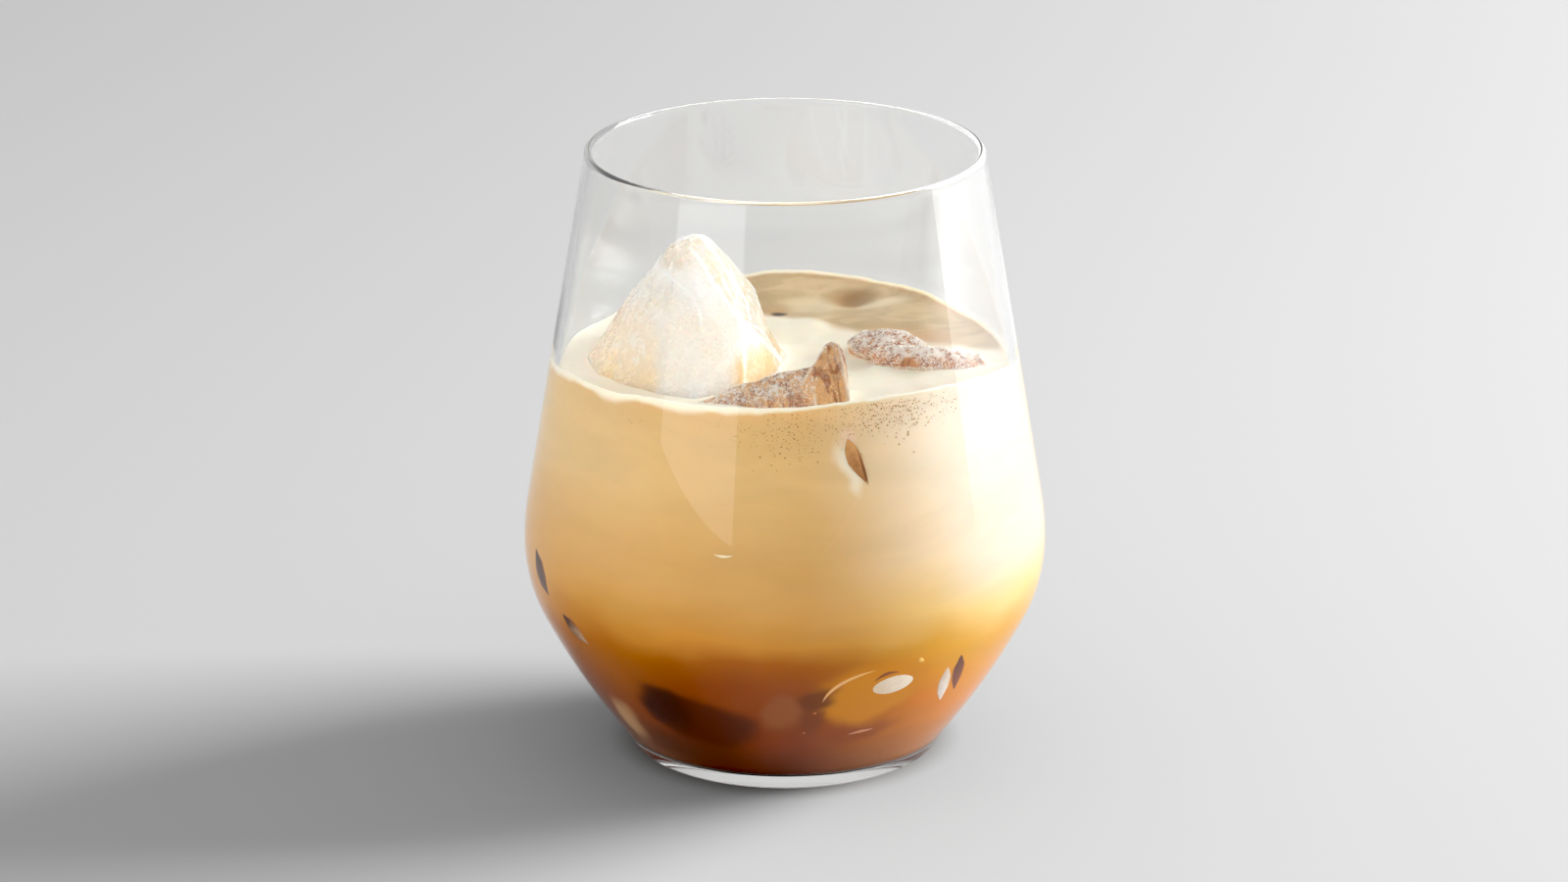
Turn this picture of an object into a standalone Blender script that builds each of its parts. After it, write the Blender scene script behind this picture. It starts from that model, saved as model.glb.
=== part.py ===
"""A stemless glass of freddo espresso over ice, in metres, +Z up, standing on Z = 0 with its axis on Z.

The tumbler is turned from one outline: a thick base, a flared lower wall, a round shoulder and a wall
that tapers in to a rounded lip. Inside it lie dark coffee, a deep layer of pale froth and three blocks
of ice that stand out of the froth. Every piece is a closed solid with a small gap to its neighbours.
"""

import math

import bmesh
import bpy
from mathutils import Matrix, Vector, noise

# Tumbler
GLASS_HEIGHT = 0.1036
WIDEST_RADIUS = 0.044
WIDEST_HEIGHT = 0.0361
SHOULDER_RADIUS_ABOVE = 0.043
SHOULDER_RADIUS_BELOW = 0.026
TAPER_ANGLE = math.radians(9.7)
FLARE_ANGLE_TOP = math.radians(26.9)
FLARE_ANGLE_FOOT = math.radians(39.9)
LIP_WALL = 0.0013
SHOULDER_WALL = 0.0017
LOWER_WALL = 0.0022
BASE_THICKNESS = 0.0034
BASE_CORNER_RADIUS = 0.0040
FOOT_CORNER_RADIUS = 0.0010
FOOT_RING_WIDTH = 0.0030
PUNT_DEPTH = 0.0006

# Drink
GAP = 0.0003
COFFEE_TOP = 0.0270
FROTH_BASIN = 0.0672
CONTACT_HEIGHT = 0.0700
CONTACT_RIPPLE = 0.0002
SLOPE_POWER_FRONT = 9.0
SLOPE_POWER_BACK = 3.0
FROTH_SWELL = 0.0005
FROTH_SWELL_SIZE = 0.014

# Height of the froth's edge on the glass every 30 degrees, anticlockwise from +X
CONTACT_LEVELS = (
    0.0682,
    0.0689,
    0.0710,
    0.0712,
    0.0706,
    0.0679,
    0.0684,
    0.0698,
    0.0704,
    0.0714,
    0.0720,
    0.0707,
)

# Mesh density
GLASS_SEGMENTS = 64
DRINK_SEGMENTS = 56
ARC_STEPS = 5

# Ice. Each block is one or more joined chunks, a chunk being a box cut by planes, and each plane cut is
# (azimuth, elevation, distance from the chunk's centre) in degrees and metres, before the chunk is turned.
ICE_BLOCKS = {
    "ice_large": [
        {
            "centre": (-0.0165, 0.0005, 0.0670),
            "size": (0.0345, 0.0424, 0.0460),
            "turn": 0,
            "cuts": (
                (221, 29, 0.01075),
                (268, 40, 0.0128),
                (322, 28, 0.01235),
                (20, 30, 0.0132),
                (100, 25, 0.0135),
                (160, 30, 0.0125),
                (60, 72, 0.0198),
                (221, -35, 0.0125),
                (322, -35, 0.0135),
                (90, -40, 0.0150),
            ),
            "round_over": 0.0016,
        },
    ],
    "ice_front": [
        {
            "centre": (-0.0050, -0.0240, 0.0665),
            "size": (0.023, 0.0085, 0.014),
            "turn": 4,
            "cuts": (
                (150, 70, 0.0036),
                (270, 55, 0.0052),
                (90, 55, 0.0055),
                (200, -35, 0.0090),
                (340, -35, 0.0090),
            ),
            "round_over": 0.0012,
        },
        {
            "centre": (0.0068, -0.0218, 0.0676),
            "size": (0.0065, 0.0085, 0.021),
            "turn": -6,
            "cuts": (
                (150, 45, 0.0068),
                (15, 30, 0.0048),
                (270, 60, 0.0080),
            ),
            "round_over": 0.0011,
        },
    ],
    "ice_right": [
        {
            "centre": (0.0160, 0.0020, 0.0660),
            "size": (0.017, 0.0065, 0.0105),
            "turn": -10,
            "cuts": (
                (180, 40, 0.0072),
                (270, 50, 0.0042),
                (90, 50, 0.0042),
                (15, 74, 0.0044),
            ),
            "round_over": 0.0010,
        },
        {
            "centre": (0.0250, -0.0030, 0.0655),
            "size": (0.017, 0.0065, 0.0095),
            "turn": 3,
            "cuts": (
                (180, 40, 0.0072),
                (270, 50, 0.0042),
                (90, 50, 0.0042),
                (345, 78, 0.0042),
            ),
            "round_over": 0.0010,
        },
    ],
}


def lower_joint():
    """Height and radius where the lower wall meets the shoulder, and the lower wall's own arc radius."""
    height = WIDEST_HEIGHT - SHOULDER_RADIUS_BELOW * math.sin(FLARE_ANGLE_TOP)
    radius = WIDEST_RADIUS - SHOULDER_RADIUS_BELOW * (1 - math.cos(FLARE_ANGLE_TOP))
    bend = height / (math.sin(FLARE_ANGLE_FOOT) - math.sin(FLARE_ANGLE_TOP))
    return height, radius, bend


def taper_start():
    """Height and radius where the shoulder ends and the straight taper begins."""
    height = WIDEST_HEIGHT + SHOULDER_RADIUS_ABOVE * math.sin(TAPER_ANGLE)
    radius = WIDEST_RADIUS - SHOULDER_RADIUS_ABOVE * (1 - math.cos(TAPER_ANGLE))
    return height, radius


def wall_tilt(height):
    """Sine of the angle that the outer wall leans outwards, so that positive opens upwards."""
    joint, _, bend = lower_joint()
    if height < joint:
        return math.sin(FLARE_ANGLE_TOP) + (joint - height) / bend
    if height < WIDEST_HEIGHT:
        return (WIDEST_HEIGHT - height) / SHOULDER_RADIUS_BELOW
    return -min((height - WIDEST_HEIGHT) / SHOULDER_RADIUS_ABOVE, math.sin(TAPER_ANGLE))


def outer_radius(height):
    """Radius of the tumbler's outer wall at a height."""
    joint, joint_radius, bend = lower_joint()
    start, start_radius = taper_start()
    if height < joint:
        lean = math.asin(wall_tilt(height))
        return joint_radius - bend * (math.cos(FLARE_ANGLE_TOP) - math.cos(lean))
    if height < WIDEST_HEIGHT:
        return WIDEST_RADIUS - SHOULDER_RADIUS_BELOW * (1 - math.cos(math.asin(wall_tilt(height))))
    if height < start:
        return WIDEST_RADIUS - SHOULDER_RADIUS_ABOVE * (1 - math.cos(math.asin(wall_tilt(height))))
    return start_radius - (height - start) * math.tan(TAPER_ANGLE)


def wall_thickness(height):
    """The wall thins from the base to the lip."""
    if height < WIDEST_HEIGHT:
        return LOWER_WALL + (SHOULDER_WALL - LOWER_WALL) * height / WIDEST_HEIGHT
    share = (height - WIDEST_HEIGHT) / (GLASS_HEIGHT - WIDEST_HEIGHT)
    return SHOULDER_WALL + (LIP_WALL - SHOULDER_WALL) * share


def inner_radius(height):
    """Radius of the tumbler's inner wall at a height."""
    return outer_radius(height) - wall_thickness(height) / math.sqrt(1 - wall_tilt(height) ** 2)


def wall_heights(low, high):
    """Heights between two levels that follow the wall's curves: close on the arcs, none on the straight."""
    joint = lower_joint()[0]
    start = taper_start()[0]
    stops = [0.0, joint, WIDEST_HEIGHT, start]
    found = {low, high}
    for bottom, top in zip(stops, stops[1:]):
        for step in range(ARC_STEPS + 1):
            height = bottom + (top - bottom) * step / ARC_STEPS
            if low + GAP < height < high - GAP:
                found.add(height)
    return sorted(found)


def arc_points(centre, radius, start, end, steps):
    """Points (radius, height) on an arc in the turning plane, angles in radians from +X."""
    angles = [start + (end - start) * step / steps for step in range(steps + 1)]
    return [(centre[0] + radius * math.cos(a), centre[1] + radius * math.sin(a)) for a in angles]


def base_corner(floor, radius, inset):
    """The round corner between a flat floor and the inner wall, as points from the floor to the wall.

    The corner's circle touches the floor, and its centre lies one radius from the wall.
    """
    height = floor + radius
    lean = math.asin(wall_tilt(height))
    wall = inner_radius(height) - inset
    centre = (wall - radius / math.cos(lean), height)
    return arc_points(centre, radius, -math.pi / 2, -lean, ARC_STEPS)


def bowl_outline(floor, top, inset):
    """The inside of the tumbler from the axis along the floor and up the wall, moved inwards by inset."""
    corner = base_corner(floor, BASE_CORNER_RADIUS, inset)
    heights = wall_heights(corner[-1][1] + BASE_CORNER_RADIUS, top)
    return [(0.0, floor)] + corner + [(inner_radius(h) - inset, h) for h in heights]


def glass_outline():
    """The tumbler's whole outline, from the axis under the base round the lip to the axis inside."""
    ring_outer = outer_radius(FOOT_CORNER_RADIUS) - FOOT_CORNER_RADIUS
    ring_inner = ring_outer - FOOT_RING_WIDTH
    punt = [(0.0, PUNT_DEPTH), (ring_inner * 0.5, PUNT_DEPTH * 0.8), (ring_inner, 0.0)]
    foot = arc_points(
        (ring_outer, FOOT_CORNER_RADIUS), FOOT_CORNER_RADIUS, -math.pi / 2, -FLARE_ANGLE_FOOT, 3
    )
    lip_radius = LIP_WALL / 2
    lip_height = GLASS_HEIGHT - lip_radius
    heights = wall_heights(2 * FOOT_CORNER_RADIUS, lip_height)
    outside = [(outer_radius(h), h) for h in heights]
    middle = (outer_radius(lip_height) + inner_radius(lip_height)) / 2
    half_wall = outer_radius(lip_height) - middle
    lip = arc_points((middle, lip_height), half_wall, 0, math.pi, 6)[1:]
    inside = bowl_outline(BASE_THICKNESS, lip_height, 0.0)[:-1]
    return punt + foot + outside + lip + inside[::-1]


def turned_mesh(outline, segments):
    """A closed bmesh spun from an outline of (radius, height) points that starts and ends on the axis."""
    mesh = bmesh.new()
    points = [mesh.verts.new((radius, 0, height)) for radius, height in outline]
    edges = [mesh.edges.new(pair) for pair in zip(points, points[1:])]
    bmesh.ops.spin(
        mesh,
        geom=points + edges,
        cent=(0, 0, 0),
        axis=(0, 0, 1),
        angle=2 * math.pi,
        steps=segments,
        use_merge=True,
    )
    bmesh.ops.remove_doubles(mesh, verts=mesh.verts, dist=1e-6)
    bmesh.ops.recalc_face_normals(mesh, faces=mesh.faces)
    return mesh


def contact_height(angle):
    """Height of the froth's edge on the glass, eased between the levels read round the rim."""
    turns = (angle / (2 * math.pi)) % 1.0 * len(CONTACT_LEVELS)
    index = int(turns) % len(CONTACT_LEVELS)
    ease = 0.5 - 0.5 * math.cos(math.pi * (turns - int(turns)))
    level = CONTACT_LEVELS[index]
    level += (CONTACT_LEVELS[(index + 1) % len(CONTACT_LEVELS)] - level) * ease
    return level + CONTACT_RIPPLE * (math.sin(5 * angle) + math.sin(9 * angle + 1))


def froth_height(x, y):
    """Height of the froth's top: a shallow basin with soft swells, which climbs to the glass all round."""
    angle = math.atan2(y, x)
    edge = contact_height(angle)
    share = min(math.hypot(x, y) / inner_radius(CONTACT_HEIGHT), 1.0)
    backness = 0.5 + 0.5 * math.sin(angle)
    power = SLOPE_POWER_FRONT + (SLOPE_POWER_BACK - SLOPE_POWER_FRONT) * backness
    rise = (edge - FROTH_BASIN) * share**power
    swell = FROTH_SWELL * noise.noise(Vector((x, y, 0)) / FROTH_SWELL_SIZE) * (1 - share**4)
    return FROTH_BASIN + rise + swell


def material(name, colour, roughness, transmission=0.0):
    """A plain Principled material."""
    made = bpy.data.materials.new(name)
    made.use_nodes = True
    shader = made.node_tree.nodes["Principled BSDF"]
    shader.inputs["Base Color"].default_value = (*colour, 1)
    shader.inputs["Roughness"].default_value = roughness
    shader.inputs["Metallic"].default_value = 0
    shader.inputs["Transmission Weight"].default_value = transmission
    return made


def add_object(name, mesh, look, smooth_angle=30):
    """Links a finished bmesh as an object with one material, smooth but for its sharp edges."""
    data = bpy.data.meshes.new(name)
    mesh.to_mesh(data)
    mesh.free()
    data.materials.append(look)
    data.shade_smooth()
    data.set_sharp_from_angle(angle=math.radians(smooth_angle))
    made = bpy.data.objects.new(name, data)
    bpy.context.scene.collection.objects.link(made)
    return made


def make_glass(look):
    return add_object("glass", turned_mesh(glass_outline(), GLASS_SEGMENTS), look)


def make_coffee(look):
    outline = bowl_outline(BASE_THICKNESS + GAP, COFFEE_TOP, GAP)
    return add_object("coffee", turned_mesh(outline + [(0.0, COFFEE_TOP)], DRINK_SEGMENTS), look)


def make_froth(look):
    """The pale layer, from just above the coffee up to its wavy top."""
    bottom = COFFEE_TOP + GAP
    heights = wall_heights(bottom, CONTACT_HEIGHT)
    wall = [(inner_radius(h) - GAP, h) for h in heights]
    edge = wall[-1][0]
    shares = (0.97, 0.92, 0.86, 0.78, 0.68, 0.56, 0.44, 0.32, 0.20, 0.10)
    top = [(edge * share, CONTACT_HEIGHT) for share in shares]
    mesh = turned_mesh([(0.0, bottom)] + wall + top + [(0.0, CONTACT_HEIGHT)], DRINK_SEGMENTS)
    for point in mesh.verts:
        if point.co.z < CONTACT_HEIGHT - GAP:
            continue
        radius = math.hypot(point.co.x, point.co.y)
        point.co.z = froth_height(point.co.x, point.co.y)
        if radius > edge - GAP:
            shift = (inner_radius(point.co.z) - GAP) / radius
            point.co.x *= shift
            point.co.y *= shift
    return add_object("froth", mesh, look)


def direction(azimuth, elevation):
    """Unit vector from an azimuth (0 is +X, 90 is +Y) and an elevation, in degrees."""
    turn = math.radians(azimuth)
    lift = math.radians(elevation)
    return Vector(
        (math.cos(turn) * math.cos(lift), math.sin(turn) * math.cos(lift), math.sin(lift))
    )


def ice_mesh(centre, size, turn, cuts, round_over, grow=0.0):
    """A chipped block: a box cut by planes, its edges rounded over, then turned about its upright axis."""
    mesh = bmesh.new()
    bmesh.ops.create_cube(mesh, size=1)
    bmesh.ops.scale(mesh, vec=Vector(size) + Vector((2 * grow,) * 3), verts=mesh.verts)
    for azimuth, elevation, distance in cuts:
        normal = direction(azimuth, elevation)
        bmesh.ops.bisect_plane(
            mesh,
            geom=mesh.verts[:] + mesh.edges[:] + mesh.faces[:],
            plane_co=normal * (distance + grow),
            plane_no=normal,
            clear_outer=True,
        )
        bmesh.ops.holes_fill(mesh, edges=[e for e in mesh.edges if e.is_boundary], sides=0)
    bmesh.ops.remove_doubles(mesh, verts=mesh.verts, dist=1e-5)
    bmesh.ops.bevel(
        mesh,
        geom=mesh.edges[:],
        offset=round_over,
        segments=2,
        profile=0.5,
        affect="EDGES",
        clamp_overlap=True,
    )
    bmesh.ops.rotate(
        mesh,
        verts=mesh.verts,
        cent=(0, 0, 0),
        matrix=Matrix.Rotation(math.radians(turn), 3, "Z"),
    )
    bmesh.ops.translate(mesh, vec=Vector(centre), verts=mesh.verts)
    bmesh.ops.recalc_face_normals(mesh, faces=mesh.faces)
    return mesh


def add_boolean(target, operation, other):
    """A Boolean on the target, whose other operand stays in the scene as a guide that isn't rendered."""
    other.hide_render = True
    other.display_type = "WIRE"
    step = target.modifiers.new(other.name, "BOOLEAN")
    step.operation = operation
    step.solver = "EXACT"
    step.object = other


def make_ice(name, chunks, look, drink):
    """One block of ice from its joined chunks, and the pocket that each chunk needs in the drink."""
    ice = add_object(name, ice_mesh(**chunks[0]), look)
    for number, chunk in enumerate(chunks):
        if number:
            add_boolean(ice, "UNION", add_object(f"{name}_chunk_{number}", ice_mesh(**chunk), look))
        pocket = add_object(f"{name}_pocket_{number}", ice_mesh(**chunk, grow=GAP), look)
        add_boolean(drink, "DIFFERENCE", pocket)
    return ice


def clear_scene():
    for item in list(bpy.data.objects):
        bpy.data.objects.remove(item)


def main():
    clear_scene()
    clear_glass = material("clear glass", (0.95, 0.97, 0.96), 0.02, 1.0)
    dark_coffee = material("dark coffee", (0.17, 0.055, 0.012), 0.15)
    pale_froth = material("pale froth", (0.72, 0.48, 0.22), 0.45)
    clear_ice = material("clear ice", (0.93, 0.88, 0.80), 0.15, 0.8)
    make_glass(clear_glass)
    make_coffee(dark_coffee)
    froth = make_froth(pale_froth)
    for name, chunks in ICE_BLOCKS.items():
        make_ice(name, chunks, clear_ice, froth)


main()
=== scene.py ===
"""A glass of freddo espresso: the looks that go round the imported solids, in metres, +Z up.

The tumbler, the coffee, the froth and the ice are rebuilt as finer meshes in the places of their solids. The
ice that is sunk in the drink and the bubbles at the wall are added, and every piece has a material made of
nodes. Colours are written as the sRGB values 0 to 255 that they show.
"""

import bisect
import math
import random
from collections import namedtuple

import bmesh
import bpy
import numpy as np
from mathutils import Matrix, Vector, noise
from mathutils.bvhtree import BVHTree


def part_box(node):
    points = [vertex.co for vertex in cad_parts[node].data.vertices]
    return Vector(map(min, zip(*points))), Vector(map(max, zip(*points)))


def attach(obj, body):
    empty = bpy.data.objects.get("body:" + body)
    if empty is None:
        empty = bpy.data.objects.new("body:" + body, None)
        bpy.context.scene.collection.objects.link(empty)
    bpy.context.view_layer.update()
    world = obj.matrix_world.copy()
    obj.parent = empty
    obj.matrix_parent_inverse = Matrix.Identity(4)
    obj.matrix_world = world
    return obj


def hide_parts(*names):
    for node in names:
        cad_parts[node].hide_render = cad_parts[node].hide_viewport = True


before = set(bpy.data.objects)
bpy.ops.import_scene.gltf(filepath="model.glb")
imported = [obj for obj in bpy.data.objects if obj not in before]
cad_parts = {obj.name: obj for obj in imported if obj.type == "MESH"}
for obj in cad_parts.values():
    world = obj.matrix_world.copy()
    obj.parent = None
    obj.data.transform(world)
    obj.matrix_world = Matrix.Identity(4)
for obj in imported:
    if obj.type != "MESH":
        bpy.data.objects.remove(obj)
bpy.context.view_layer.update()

# Tumbler, with the driving dimensions of the solids and a rounder corner at its foot
GLASS_HEIGHT = 0.1036
WIDEST_RADIUS = 0.044
WIDEST_HEIGHT = 0.0361
SHOULDER_RADIUS_ABOVE = 0.043
SHOULDER_RADIUS_BELOW = 0.026
TAPER_ANGLE = math.radians(9.7)
FLARE_ANGLE_TOP = math.radians(26.9)
FLARE_ANGLE_FOOT = math.radians(39.9)
LIP_WALL = 0.0013
SHOULDER_WALL = 0.0017
LOWER_WALL = 0.0022
BASE_THICKNESS = 0.0034
BASE_CORNER_RADIUS = 0.0040
FOOT_CORNER_RADIUS = 0.0020
FOOT_RING_WIDTH = 0.0030
PUNT_DEPTH = 0.0006

# Where the lower wall's arc meets the shoulder, that arc's radius, and where the straight taper begins
JOINT_HEIGHT = WIDEST_HEIGHT - SHOULDER_RADIUS_BELOW * math.sin(FLARE_ANGLE_TOP)
JOINT_RADIUS = WIDEST_RADIUS - SHOULDER_RADIUS_BELOW * (1 - math.cos(FLARE_ANGLE_TOP))
LOWER_BEND = JOINT_HEIGHT / (math.sin(FLARE_ANGLE_FOOT) - math.sin(FLARE_ANGLE_TOP))
TAPER_HEIGHT = WIDEST_HEIGHT + SHOULDER_RADIUS_ABOVE * math.sin(TAPER_ANGLE)
TAPER_RADIUS = WIDEST_RADIUS - SHOULDER_RADIUS_ABOVE * (1 - math.cos(TAPER_ANGLE))

# Drink
WALL_OVERLAP = 0.00015
FROTH_BASIN = 0.0672
SLOPE_POWER_FRONT = 9.0
SLOPE_POWER_BACK = 3.0
SWELLS = ((0.014, 0.0005), (0.006, 0.00022), (0.0025, 0.00006))
MENISCUS_HEIGHT = 0.0005
MENISCUS_WIDTH = 0.0009
ICE_CLIMB = 0.0007
ICE_CLIMB_WIDTH = 0.0011

# Mesh density
GLASS_SEGMENTS = 200
DRINK_SEGMENTS = 320
TOP_RINGS = 100
SIDE_RINGS = 40
ARC_STEPS = 14
SHARP_ANGLE = math.radians(50)

# Refraction, from air into glass and into ice, and from glass into the drink
GLASS_IOR = 1.5
ICE_IOR = 1.31
DRINK_BEHIND_GLASS = 0.887

# Camera, fitted to the photo
CAMERA_TARGET_HEIGHT = 0.05263
CAMERA_DISTANCE = 0.850
CAMERA_PITCH = math.radians(18.61)
CAMERA_SHIFT_X = -0.00016
CAMERA_LENS = 116.1
BLACK_LEVEL = 0.020

# How light spreads inside the froth, and the tint of light that has passed through ice
FROTH_GLOW = (1.0, 0.6, 0.3)
ICE_TINT = (1, 0.97, 0.92)

# What the fills light, which is all but the glass, and what the rim's card lights, which is the glass
FILLED = bpy.data.collections.new("lit_by_fills")
GLAZED = bpy.data.collections.new("lit_by_rim_card")


def srgb(red, green, blue):
    """Linear colour from sRGB values 0 to 255."""
    shares = (value / 255 for value in (red, green, blue))
    return tuple(share / 12.92 if share <= 0.04045 else ((share + 0.055) / 1.055) ** 2.4 for share in shares)


def round_axis(radius, turn, height):
    """A point at a radius and a turn, in radians, round the axis."""
    return radius * math.cos(turn), radius * math.sin(turn), height


def wall_tilt(height):
    """Sine of the angle that the outer wall leans outwards, so that positive opens upwards."""
    if height < JOINT_HEIGHT:
        return math.sin(FLARE_ANGLE_TOP) + (JOINT_HEIGHT - height) / LOWER_BEND
    if height < WIDEST_HEIGHT:
        return (WIDEST_HEIGHT - height) / SHOULDER_RADIUS_BELOW
    return -min((height - WIDEST_HEIGHT) / SHOULDER_RADIUS_ABOVE, math.sin(TAPER_ANGLE))


def outer_radius(height):
    """Radius of the tumbler's outer wall at a height."""
    fall = 1 - math.cos(math.asin(wall_tilt(height)))
    if height < JOINT_HEIGHT:
        return JOINT_RADIUS - LOWER_BEND * (math.cos(FLARE_ANGLE_TOP) - 1 + fall)
    if height < WIDEST_HEIGHT:
        return WIDEST_RADIUS - SHOULDER_RADIUS_BELOW * fall
    if height < TAPER_HEIGHT:
        return WIDEST_RADIUS - SHOULDER_RADIUS_ABOVE * fall
    return TAPER_RADIUS - (height - TAPER_HEIGHT) * math.tan(TAPER_ANGLE)


def wall_thickness(height):
    """The wall thins from the base to the lip."""
    if height < WIDEST_HEIGHT:
        return LOWER_WALL + (SHOULDER_WALL - LOWER_WALL) * height / WIDEST_HEIGHT
    share = (height - WIDEST_HEIGHT) / (GLASS_HEIGHT - WIDEST_HEIGHT)
    return SHOULDER_WALL + (LIP_WALL - SHOULDER_WALL) * share


def inner_radius(height):
    """Radius of the tumbler's inner wall at a height."""
    return outer_radius(height) - wall_thickness(height) / math.sqrt(1 - wall_tilt(height) ** 2)


def wall_heights(low, high, step=0.0012):
    """Evenly spaced heights from low to high, both included."""
    count = max(2, round((high - low) / step))
    return [low + (high - low) * index / count for index in range(count + 1)]


def arc_points(centre, radius, start, end, steps=ARC_STEPS):
    """Points (radius, height) on an arc in the turning plane, angles in radians from +X."""
    angles = [start + (end - start) * step / steps for step in range(steps + 1)]
    return [(centre[0] + radius * math.cos(a), centre[1] + radius * math.sin(a)) for a in angles]


def bowl_outline(floor, top, inset):
    """The inside of the tumbler from the axis along the floor and up the wall, moved inwards by inset."""
    height = floor + BASE_CORNER_RADIUS
    lean = math.asin(wall_tilt(height))
    centre = (inner_radius(height) - inset - BASE_CORNER_RADIUS / math.cos(lean), height)
    corner = arc_points(centre, BASE_CORNER_RADIUS, -math.pi / 2, -lean)
    heights = wall_heights(corner[-1][1] + BASE_CORNER_RADIUS / 4, top)
    return [(0.0, floor)] + corner + [(inner_radius(h) - inset, h) for h in heights]


def glass_outline():
    """The tumbler's whole outline, from the axis under the base round the lip to the axis inside."""
    ring_outer = outer_radius(FOOT_CORNER_RADIUS) - FOOT_CORNER_RADIUS
    ring_inner = ring_outer - FOOT_RING_WIDTH
    punt = [(0.0, PUNT_DEPTH), (ring_inner * 0.5, PUNT_DEPTH * 0.8), (ring_inner, 0.0)]
    centre = (ring_outer, FOOT_CORNER_RADIUS)
    foot = arc_points(centre, FOOT_CORNER_RADIUS, -math.pi / 2, -FLARE_ANGLE_FOOT, 8)
    lip_height = GLASS_HEIGHT - LIP_WALL / 2
    outside = [(outer_radius(h), h) for h in wall_heights(2 * FOOT_CORNER_RADIUS, lip_height)]
    middle = (outer_radius(lip_height) + inner_radius(lip_height)) / 2
    lip = arc_points((middle, lip_height), outer_radius(lip_height) - middle, 0, math.pi)[1:]
    inside = bowl_outline(BASE_THICKNESS, lip_height, 0.0)[:-1]
    return punt + foot + outside + lip + inside[::-1]


def wall_frame(azimuth, height, tilt=0.0):
    """A place on the inner wall and the unit vectors across it, up along it and out of it.

    Angles are in degrees, and tilt turns the first two anticlockwise as seen from outside.
    """
    turn, lean = math.radians(azimuth), math.radians(tilt)
    step = 0.0002
    slope = (inner_radius(height + step) - inner_radius(height - step)) / (2 * step)
    out = Vector(round_axis(1, turn, 0))
    level = Vector((-math.sin(turn), math.cos(turn), 0))
    up = (out * slope + Vector((0, 0, 1))).normalized()
    centre = out * inner_radius(height) + Vector((0, 0, height))
    across = level * math.cos(lean) + up * math.sin(lean)
    along = up * math.cos(lean) - level * math.sin(lean)
    return centre, across, along, across.cross(along)


def linked(name, data=None, mesh=None):
    """A new object in the scene, from its data or from a bmesh that becomes a smooth-shaded mesh."""
    if mesh:
        data = bpy.data.meshes.new(name)
        mesh.to_mesh(data)
        mesh.free()
        data.shade_smooth()
    made = bpy.data.objects.new(name, data)
    bpy.context.scene.collection.objects.link(made)
    return made


def paint(piece, *materials):
    """Gives a piece its materials, and returns it."""
    for material in materials:
        piece.data.materials.append(material)
    return piece


def hold(data, **values):
    """Stores numbers at a mesh's vertices, under names that its material reads."""
    for name, found in values.items():
        data.attributes.new(name, "FLOAT", "POINT").data.foreach_set("value", found)


def mesh_object(name, vertices, faces, **values):
    """A smooth-shaded object with its normals facing out. Values are held at its vertices."""
    data = bpy.data.meshes.new(name)
    data.from_pydata(vertices, [], faces)
    hold(data, **values)
    mesh = bmesh.new()
    mesh.from_mesh(data)
    bmesh.ops.remove_doubles(mesh, verts=mesh.verts, dist=1e-7)
    bmesh.ops.recalc_face_normals(mesh, faces=mesh.faces)
    mesh.to_mesh(data)
    mesh.free()
    data.shade_smooth()
    data.set_sharp_from_angle(angle=SHARP_ANGLE)
    return linked(name, data)


def rings_mesh(rings):
    """Vertices and faces that join rings of equal length, each end closed by a point at its middle."""
    count = len(rings[0])
    vertices = [point for ring in rings for point in ring]
    faces = []
    for level in range(len(rings) - 1):
        for step in range(count):
            here, after = level * count + step, level * count + (step + 1) % count
            faces.append((here, after, after + count, here + count))
    for ring, start in ((rings[0], 0), (rings[-1], (len(rings) - 1) * count)):
        vertices.append(tuple(sum(point[axis] for point in ring) / count for axis in range(3)))
        faces += [(start + step, start + (step + 1) % count, len(vertices) - 1) for step in range(count)]
    return vertices, faces


def turned(name, outline, segments):
    """A closed piece turned from (radius, height) points that start and end on the axis."""
    turns = [2 * math.pi * step / segments for step in range(segments)]
    rings = [[round_axis(radius, turn, height) for turn in turns] for radius, height in outline[1:-1]]
    return mesh_object(name, *rings_mesh(rings))


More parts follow.
